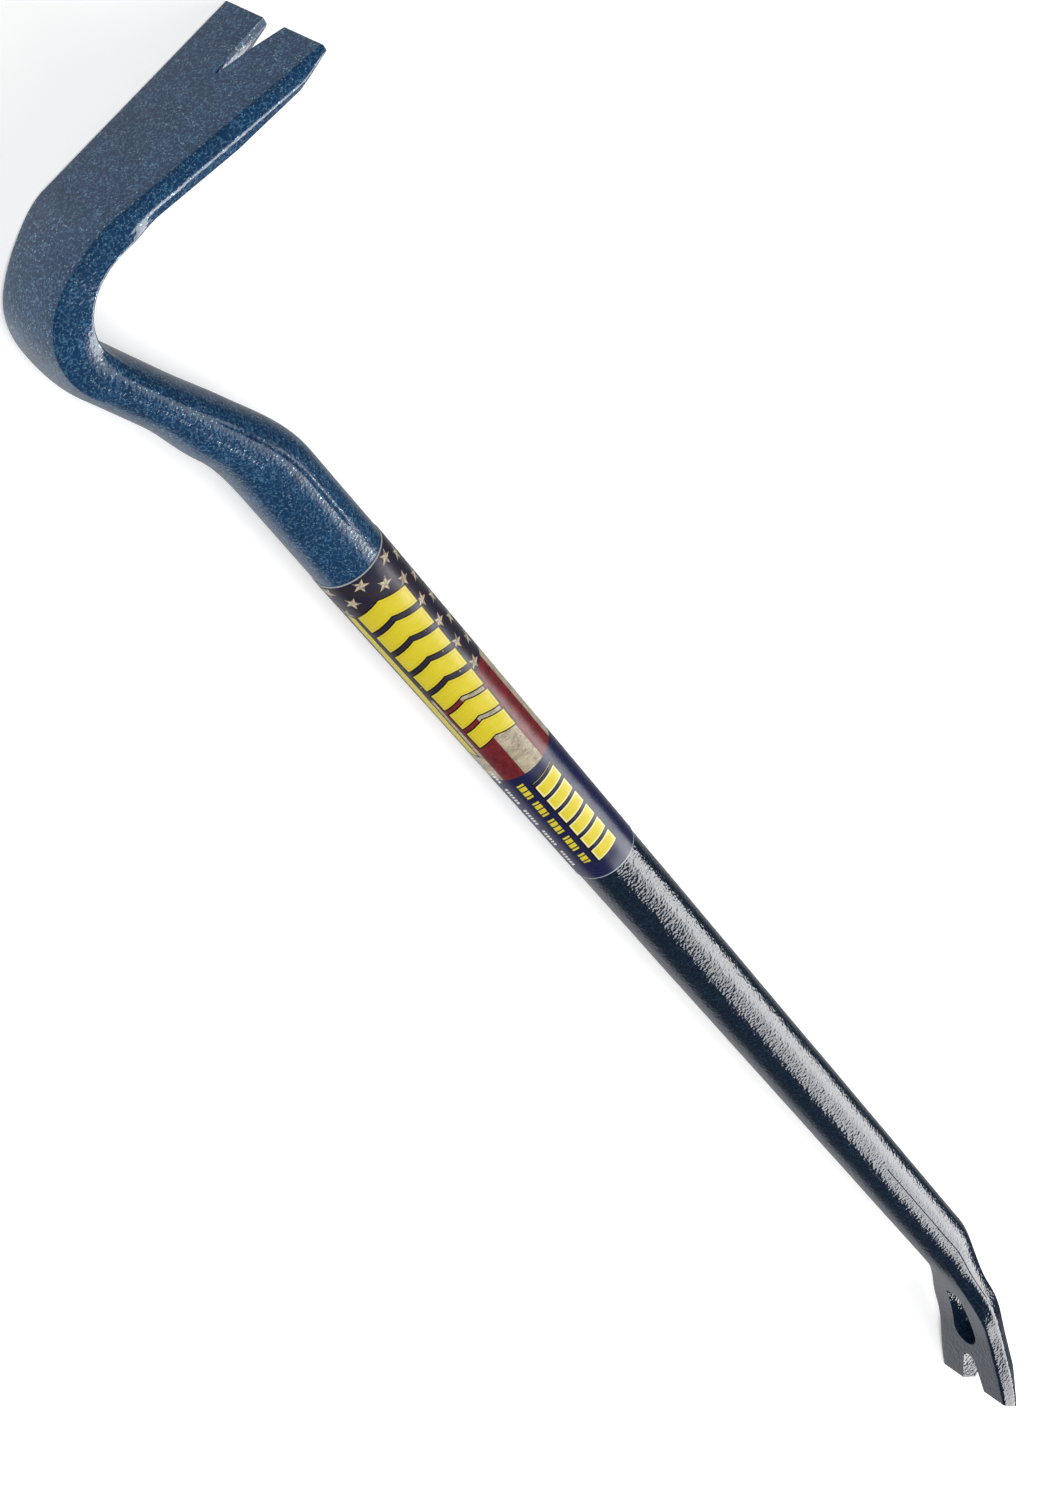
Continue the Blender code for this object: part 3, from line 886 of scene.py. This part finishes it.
# %% Wrap the film
FILM = 0.16 * MM
FILM_GAP = 0.02 * MM
LAP = 4.0 * MM
FILM_TURNS = 128
FILM_STATIONS = 24
PRINT_MIDDLE = 12.0  # degrees from the top of the shaft to the middle of the print
FILM_ROUND = 0.10 * MM  # spacing of the close stations at the cut ends
FILM_DROOP = 0.4  # share of the film's thickness lost right at a cut end
LAP_RISE = 0.35  # share of the lap in which the film climbs over itself
FILM_CREASE = math.radians(40.0)


def film_section():
    """Points of the film's outer and inner face: (share of a turn, lift over the steel)."""
    lap_share = LAP / (2.0 * math.pi * shaft["upper_radius"])
    faces = []
    for skin_lift in (FILM, 0.0):
        face = []
        for i in range(FILM_TURNS + 1):
            share = -0.5 + (1.0 + lap_share) * i / FILM_TURNS
            over = ease(share, [(0.5 - LAP_RISE * lap_share, 0.0), (0.5, 1.0)])
            face.append((share, FILM_GAP + skin_lift + over * (FILM + FILM_GAP)))
        faces.append(face)
    return faces[0] + list(reversed(faces[1]))


def wrap_film():
    data = bmesh.new()
    print_place = data.verts.layers.float_vector.new("print_place")
    drooping = 3.0 * FILM_ROUND
    around_mm = 2.0 * math.pi * shaft["upper_radius"] / MM
    stations = [0.0, FILM_ROUND, drooping]
    stations += [SLEEVE_LENGTH * i / FILM_STATIONS for i in range(1, FILM_STATIONS)]
    stations += [SLEEVE_LENGTH - drooping, SLEEVE_LENGTH - FILM_ROUND, SLEEVE_LENGTH]
    loops = []
    outline = film_section()
    for x in stations:
        near_end = min(x, SLEEVE_LENGTH - x)
        droop = FILM_DROOP * FILM * (1.0 - min(near_end / drooping, 1.0)) ** 2
        loop = []
        for share, lift in outline:
            if lift >= FILM:
                lift -= droop
            turn = math.radians(PRINT_MIDDLE) + 2.0 * math.pi * share
            radius = shaft_radius(x) + lift
            vert = data.verts.new((x, -radius * math.sin(turn), radius * math.cos(turn)))
            vert[print_place] = (x / MM, around_mm * share, lift / MM)
            loop.append(vert)
        loops.append(loop)
    join_loops(data, loops)
    for loop in (loops[0], list(reversed(loops[-1]))):
        half = len(loop) // 2
        for i in range(half - 1):
            data.faces.new((loop[i], loop[i + 1], loop[-2 - i], loop[-1 - i]))
    return new_object("film_sleeve", data)


film = wrap_film()
film.data.transform(lay_down)
film.data.shade_smooth()
film.data.set_sharp_from_angle(angle=FILM_CREASE)
print("film:", len(film.data.polygons), "faces")

# %% [markdown]
# ## The print
# The artwork is a weathered flag-like ground, stars over dark cloth, then broad stripes,
# then plain navy, with bold yellow shapes over it. Every shape is worked out from how far
# along and how far round a point lies, so edges stay crisp however close the camera comes.

# %% Print colours and lengths
CREAM = colour(172, 162, 138)
STAR_CREAM = colour(188, 176, 152)
STAR_SHADE = colour(150, 134, 112)
STAR_GROUND = colour(46, 38, 42)
STAR_GROUND_BLUE = colour(30, 30, 52)
STRIPE_RED = colour(112, 36, 42)
NAVY = colour(24, 27, 62)
YELLOW = colour(194, 178, 42)
DEEP_YELLOW = colour(172, 154, 36)
PALE_YELLOW = colour(212, 202, 148)
BLACK = colour(12, 12, 14)
WHITE = colour(205, 205, 205)
# the film's own pale cut edge, lightened further as a painted glint
FILM_EDGE_AND_GLINT = colour(165, 175, 180)
DIRT = colour(120, 105, 100)

# Lengths on the print, in millimetres like the stored numbers.
STARS_END = 42.0
STRIPES_END = 73.0
SOFT_JOIN = 0.1
STAR_PITCH = 7.6
STAR_ROW = 4.1
STAR_RADIUS = 1.85
STAR_WAIST = 0.40  # inner radius of a star as a share of its outer one
STAR_SHIFT = 1.4
STRIPE_WIDTH = 5.6
STRIPE_SHIFT = 3.6
OUTLINE = 0.42
INK_BLUR = 0.04
RIPPLE = 0.12 * MM  # height of the film's slow waves
FAR_ROUND = 40.0  # whole rows added so that the counting stays positive
print("stars to", STARS_END, "mm, stripes to", STRIPES_END, "mm, then navy")

# %% [markdown]
# A star is drawn by signed distance: below zero inside it, above zero outside. The plane is
# folded round the star's middle until half of one point is left, whose edge is one line.

# %% Stars


def star(x, y):
    """Signed distance to a five-pointed star, and which side of a point's ridge it is on."""
    fifth = 2.0 * math.pi / 5.0
    inner = STAR_WAIST * STAR_RADIUS
    inner_x = inner * math.cos(fifth / 2.0)
    inner_y = inner * math.sin(fifth / 2.0)
    side = math.hypot(inner_x - STAR_RADIUS, inner_y)
    swing = (y.maths("ARCTAN2", x) + fifth / 2.0).wrapped(fifth) - fifth / 2.0
    reach = (x * x + y * y).maths("SQRT")
    fold = abs(swing)
    across = reach * fold.maths("COSINE") - STAR_RADIUS
    up = reach * fold.maths("SINE")
    return (across * inner_y - up * (inner_x - STAR_RADIUS)) * (1.0 / side), swing > 0.0


def star_field(finish, along, around, worn):
    counted = around + FAR_ROUND * STAR_ROW
    row = (counted * (1.0 / STAR_ROW)).maths("FLOOR")
    odd = row.wrapped(2.0)
    shifted = along + odd * (STAR_PITCH / 2.0) + STAR_SHIFT
    x = shifted.wrapped(STAR_PITCH) - STAR_PITCH / 2.0
    y = counted.wrapped(STAR_ROW) - STAR_ROW / 2.0
    edge, lit_side = star(x, y)
    cloth = finish.mix(worn, STAR_GROUND, STAR_GROUND_BLUE)
    star_paint = finish.mix(lit_side, STAR_SHADE, STAR_CREAM)
    star_paint = finish.mix(finish.smooth(worn, 0.45, 0.8) * 0.6, star_paint, STAR_GROUND)
    return finish.mix(finish.smooth(edge, 0.08, -0.02), cloth, star_paint)


print("star rows:", STAR_ROW, "mm apart; stars:", STAR_PITCH, "mm apart along a row")

# %% [markdown]
# The stripes run along the shaft and repeat round it. Dirt multiplies the colour under it,
# as a stain does.

# %% Stripes


def stripes(finish, around, worn, speckle):
    shifted = around + STRIPE_SHIFT + FAR_ROUND / 2.0 * STRIPE_WIDTH
    phase = shifted.wrapped(2.0 * STRIPE_WIDTH)
    red = finish.smooth(phase - STRIPE_WIDTH, -0.06, 0.06)
    paint = finish.mix(red, CREAM, STRIPE_RED)
    dirty = finish.mix(1.0, paint, DIRT, "MULTIPLY")
    return finish.mix(worn * 0.55 + speckle * 0.3, paint, dirty)


print("stripes:", STRIPE_WIDTH, "mm wide")

# %% [markdown]
# The bold shapes are signed distances too. The larger of two distances keeps what both
# share, and the smaller joins them. The black outline is the same shape a little larger.

# %% Bold shapes


def band(value, low, high):
    """1 where low < value < high."""
    return (value > low) * (value < high)


def shared(*shapes):
    """Signed distance to what all the shapes share."""
    whole = shapes[0]
    for shape in shapes[1:]:
        whole = whole.maths("MAXIMUM", shape)
    return whole


def inked(finish, shape, ground, ink):
    """Ink with a black outline wherever shape, a signed distance, is below zero."""
    outlined = finish.smooth(shape, OUTLINE + INK_BLUR, OUTLINE - INK_BLUR)
    paint = finish.mix(outlined, ground, BLACK)
    return finish.mix(finish.smooth(shape, INK_BLUR, -INK_BLUR), paint, ink)


def chevrons(finish, ground, along, around):
    """A row of bold chevrons over a long tapered bar."""
    pitch = 7.4
    middle = 1.3
    half_wide = 2.75
    half_tall = 6.5
    full_at = 12.0                # the row is as tall as half_tall says here
    row_middle = 4.5 * pitch
    row_half = 3.5 * pitch
    slope = 0.42
    narrowing = 0.03              # height lost on each side per length along
    lean = along - abs(around - middle) * slope
    cell = lean.wrapped(pitch) - pitch / 2.0
    thick = abs(cell) - half_wide
    tall = abs(around - middle) - (half_tall - (along - full_at) * narrowing)
    ends = abs(lean - row_middle) - row_half
    shape = shared(thick, tall, ends)

    bar_middle = 38.0
    bar_around = 9.9
    bar_half = 1.25
    bar_taper = 0.012
    bar_slant = 0.5               # how far its cut ends lean
    slant_middle = 42.0
    slant_half = 26.0
    bar_tall = abs(around - bar_around) - (bar_half - abs(along - bar_middle) * bar_taper)
    bar_ends = abs(along + around * bar_slant - slant_middle) - slant_half
    shape = shape.maths("MINIMUM", shared(bar_tall, bar_ends))
    paint = inked(finish, shape, ground, YELLOW)
    return finish.mix(band(shape, -0.75, -0.5) * 0.6, paint, DEEP_YELLOW)


def blocks(finish, ground, along, around):
    """Pale-edged blocks, then two lines of small marks, on the navy end."""
    pitch = 5.15
    half_wide = 1.95
    half_tall = 3.3
    row_middle = 92.0
    row_half = 3.0 * pitch
    slant = 0.18
    row_around = -0.9
    pause_half = 0.9              # half the space between two groups of marks
    lean = along - around * slant
    cell = abs(lean.wrapped(pitch) - pitch / 2.0) - half_wide
    tall = abs(around - row_around) - half_tall
    ends = abs(lean - row_middle) - row_half
    shape = shared(cell, tall, ends)
    paint = inked(finish, shape, ground, PALE_YELLOW)
    paint = finish.mix(finish.smooth(shape, -0.35, -0.45), paint, YELLOW)
    for middle, half, step, gap, word, leaning, ink, start, end in (
        (5.0, 0.95, 1.75, 0.42, 7.0, 0.25, YELLOW, 75.0, 107.0),
        (9.6, 0.62, 1.05, 0.40, 8.4, 0.45, WHITE, 70.0, 109.0),
    ):
        lean = along - around * leaning
        mark = abs(lean.wrapped(step) - step / 2.0) - (step - gap) / 2.0
        pause = pause_half - abs(lean.wrapped(word) - word / 2.0)
        ends = abs(along - (start + end) / 2.0) - (end - start) / 2.0
        shape = shared(mark, abs(around - middle) - half, pause, ends)
        paint = finish.mix(finish.smooth(shape, 0.03, -0.03), paint, ink)
    return paint


print("outlines:", OUTLINE, "mm wide")

# %% [markdown]
# The layers are painted one over another, ground first. Broad clouds and fine streaks make
# the wear, and a slow ripple in the bump keeps the film's reflections from being perfect.

# %% Film material


def film_print():
    finish = Finish("printed_film")
    place = finish.node("ShaderNodeAttribute", {"attribute_name": "print_place"}, {}, out=1)
    along = finish.node("ShaderNodeSeparateXYZ", {}, {0: place})
    around = Value(finish, along.socket.node.outputs[1])
    grunge = finish.clouds(place, 0.35, 6.0, 0.7)
    drawn_out = {0: place, 1: (1.4, 0.35, 1.0)}
    stretched = finish.node("ShaderNodeVectorMath", {"operation": "MULTIPLY"}, drawn_out)
    streak = finish.clouds(stretched, 1.2, 4.0, 0.65)
    worn = finish.smooth(grunge * 0.5 + streak * 0.5, 0.38, 0.62)
    speckle = finish.smooth(finish.clouds(place, 2.6, 2.0), 0.5, 0.68)

    paint = star_field(finish, along, around, worn)
    past_stars = finish.smooth(along, STARS_END - SOFT_JOIN, STARS_END + SOFT_JOIN)
    paint = finish.mix(past_stars, paint, stripes(finish, around, worn, speckle))
    past_stripes = finish.smooth(along, STRIPES_END - SOFT_JOIN, STRIPES_END + SOFT_JOIN)
    paint = finish.mix(past_stripes, paint, NAVY)
    paint = chevrons(finish, paint, along, around)
    paint = blocks(finish, paint, along, around)
    # A pale band at both cut ends: partly the film's own pale edge, partly a painted glint where the cut
    # edge catches the light.
    half = SLEEVE_LENGTH / MM / 2.0
    edge_and_glint = finish.smooth(abs(along - half), half - 0.38, half - 0.28)
    paint = finish.mix(edge_and_glint * 0.7, paint, FILM_EDGE_AND_GLINT)

    ripple = finish.clouds(place, 0.12, 1.0)
    bump = finish.bump(ripple * RIPPLE)
    finish.set(Base_Color=paint, Roughness=0.24 + worn * 0.05, Normal=bump)
    finish.set(IOR=1.45, Specular_IOR_Level=0.22)
    return finish.material


film.data.materials.clear()
film.data.materials.append(film_print())
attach(film, "root")
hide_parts("label_wrap")
print("print nodes:", len(film.data.materials[0].node_tree.nodes))

# %% [markdown]
# ## Floor, light and camera
# The bar lies on a plain white floor, wide enough to reach the horizon. It glows a little
# by itself, so it stays near white without strong lights that would flatten the enamel.

# %% Floor
FLOOR_HALF = 40.0
FLOOR_WHITE = (0.80, 0.80, 0.80, 1.0)
FLOOR_GLOW = 0.30


def make_floor():
    data = bmesh.new()
    corners = [(-1.0, -1.0), (1.0, -1.0), (1.0, 1.0), (-1.0, 1.0)]
    data.faces.new([data.verts.new((x * FLOOR_HALF, y * FLOOR_HALF, 0.0)) for x, y in corners])
    item = new_object("studio_floor", data)
    finish = Finish("white_floor")
    finish.set(Base_Color=FLOOR_WHITE, Roughness=0.9, Specular_IOR_Level=0.1)
    finish.set(Emission_Color=(1.0, 1.0, 1.0, 1.0), Emission_Strength=FLOOR_GLOW)
    item.data.materials.append(finish.material)
    return item


floor = make_floor()
print("floor:", 2.0 * FLOOR_HALF, "m across")

# %% [markdown]
# Four lights do four jobs. A large panel stands beyond the chisel and draws the long pale
# reflection down the shaft. A dim high panel puts a sheen on the neck, and a small one
# beside the hook gives the corner of the heel its glint. A very soft sun lights the floor
# and the steel evenly, but isn't mirrored in the enamel.

# %% Lights


def aim(item, target):
    item.rotation_mode = 'QUATERNION'
    item.rotation_quaternion = (Vector(target) - item.location).to_track_quat('-Z', 'Y')


def panel(name, place, target, width, height, radiance):
    light = bpy.data.lights.new(name, 'AREA')
    light.shape = 'RECTANGLE'
    light.size = width
    light.size_y = height
    light.energy = radiance * math.pi * width * height
    item = bpy.data.objects.new(name, light)
    item.location = place
    bpy.context.scene.collection.objects.link(item)
    aim(item, target)
    item.visible_camera = False


END_BEARING = math.radians(11.0)
END_DISTANCE = 1.0
END_HEIGHT = 0.60
END_PLACE = (END_DISTANCE * math.cos(END_BEARING), END_DISTANCE * math.sin(END_BEARING), END_HEIGHT)
SUN_ENERGY = 2.4
SUN_SOFTNESS = math.radians(50.0)
SUN_PLACE = (-1.2, -0.8, 2.2)

# Each line holds the name, the place, the point faced, width, height and radiance.
panel("end_panel", END_PLACE, (0.0, 0.0, END_HEIGHT), 1.28, 0.74, 8.5)
panel("high_panel", (0.80, 0.80, 1.00), (-0.15, 0.0, 0.0), 1.10, 0.70, 2.6)
panel("heel_panel", (-0.25, -0.95, 0.55), (-0.18, 0.0, 0.0), 0.16, 0.10, 14.0)

sun = bpy.data.lights.new("soft_sun", 'SUN')
sun.energy = SUN_ENERGY
sun.angle = SUN_SOFTNESS
sun_item = bpy.data.objects.new("soft_sun", sun)
sun_item.location = SUN_PLACE
bpy.context.scene.collection.objects.link(sun_item)
aim(sun_item, (0.0, 0.0, 0.0))
sun_item.visible_glossy = False

# %% [markdown]
# The room seen in the enamel is dim at eye level and paler low down, where the table is.
# The floor itself is left out of reflections, so this soft gradient stands in for it; a
# pure white floor would draw chalky lines along every silhouette. Seen straight by the
# camera, the room is nearly white, so the backdrop carries on from the floor.

# %% Room
ROOM_COLOUR = (0.96, 0.98, 1.0, 1.0)
ROOM_LEVEL = 0.04
TABLE_LEVEL = 0.42
TABLE_FROM = -0.10  # looking down this steeply the table starts to show
TABLE_FULL = -0.48  # and from here on it fills the view
NEAR_SIDE = 2.5  # the table is this much paler toward PALE_WAY
NEAR_FROM = -0.30
NEAR_FULL = 0.15
PALE_WAY = (-0.5, -0.85, 0.0)

world = bpy.data.worlds.new("dim_room")
world.use_nodes = True
bpy.context.scene.world = world
room = world.node_tree


def room_node(kind, settings, **numbers):
    made = room.nodes.new(kind)
    for key, value in settings.items():
        setattr(made, key, value)
    for key, value in numbers.items():
        made.inputs[key.replace("_", " ")].default_value = value
    return made


facing = room_node("ShaderNodeTexCoord", {}).outputs["Generated"]
parts = room_node("ShaderNodeSeparateXYZ", {})
level = room_node("ShaderNodeMapRange", {"interpolation_type": 'SMOOTHSTEP'}, From_Min=TABLE_FROM,
                  From_Max=TABLE_FULL, To_Min=ROOM_LEVEL, To_Max=TABLE_LEVEL)
toward = room_node("ShaderNodeVectorMath", {"operation": 'DOT_PRODUCT'})
toward.inputs[1].default_value = PALE_WAY
near = room_node("ShaderNodeMapRange", {}, From_Min=NEAR_FROM, From_Max=NEAR_FULL,
                 To_Min=1.0, To_Max=NEAR_SIDE)
table = room_node("ShaderNodeMath", {"operation": 'MULTIPLY'})
seen = room_node("ShaderNodeLightPath", {})
strength = room_node("ShaderNodeMath", {"operation": 'MAXIMUM'})
background = room.nodes["Background"]
background.inputs["Color"].default_value = ROOM_COLOUR
for output, socket in (
    (facing, parts.inputs[0]),
    (parts.outputs["Z"], level.inputs["Value"]),
    (facing, toward.inputs[0]),
    (toward.outputs["Value"], near.inputs["Value"]),
    (level.outputs[0], table.inputs[0]),
    (near.outputs[0], table.inputs[1]),
    (table.outputs[0], strength.inputs[0]),
    (seen.outputs["Is Camera Ray"], strength.inputs[1]),
    (strength.outputs[0], background.inputs["Strength"]),
):
    room.links.new(output, socket)
floor.visible_glossy = False
bpy.context.scene.view_settings.view_transform = 'Standard'
print("room:", ROOM_LEVEL, "table:", TABLE_LEVEL)

# %% [markdown]
# The camera stands beyond the hook end, well above the floor, and looks down the bar with
# a long lens. It is rolled until the hook is at the top and the chisel at the bottom.

# %% Camera
CAMERA_PLACE = Vector((-0.7164, -0.2273, 0.6975))
CAMERA_TARGET = Vector((-0.0456, -0.0180, 0.0123))
CAMERA_ROLL = math.radians(115.0)
LENS = 108.15
SENSOR = 36.0
eye = bpy.data.cameras.new("camera")
eye.sensor_width = SENSOR
eye.lens = LENS
camera = bpy.data.objects.new("camera", eye)
camera.location = CAMERA_PLACE
camera.rotation_mode = 'QUATERNION'
level_look = (CAMERA_TARGET - CAMERA_PLACE).to_track_quat('-Z', 'Y')
camera.rotation_quaternion = level_look @ Quaternion((0.0, 0.0, 1.0), CAMERA_ROLL)
bpy.context.scene.collection.objects.link(camera)
bpy.context.scene.camera = camera
print("camera:", round((CAMERA_TARGET - CAMERA_PLACE).length, 2), "m from what it looks at")

# %% [markdown]
# ## Sizes and finish
# The box of the enamelled forging was set beside the box of the plain one after the cuts.
# The two have to agree, because looks never change the size of the tool.
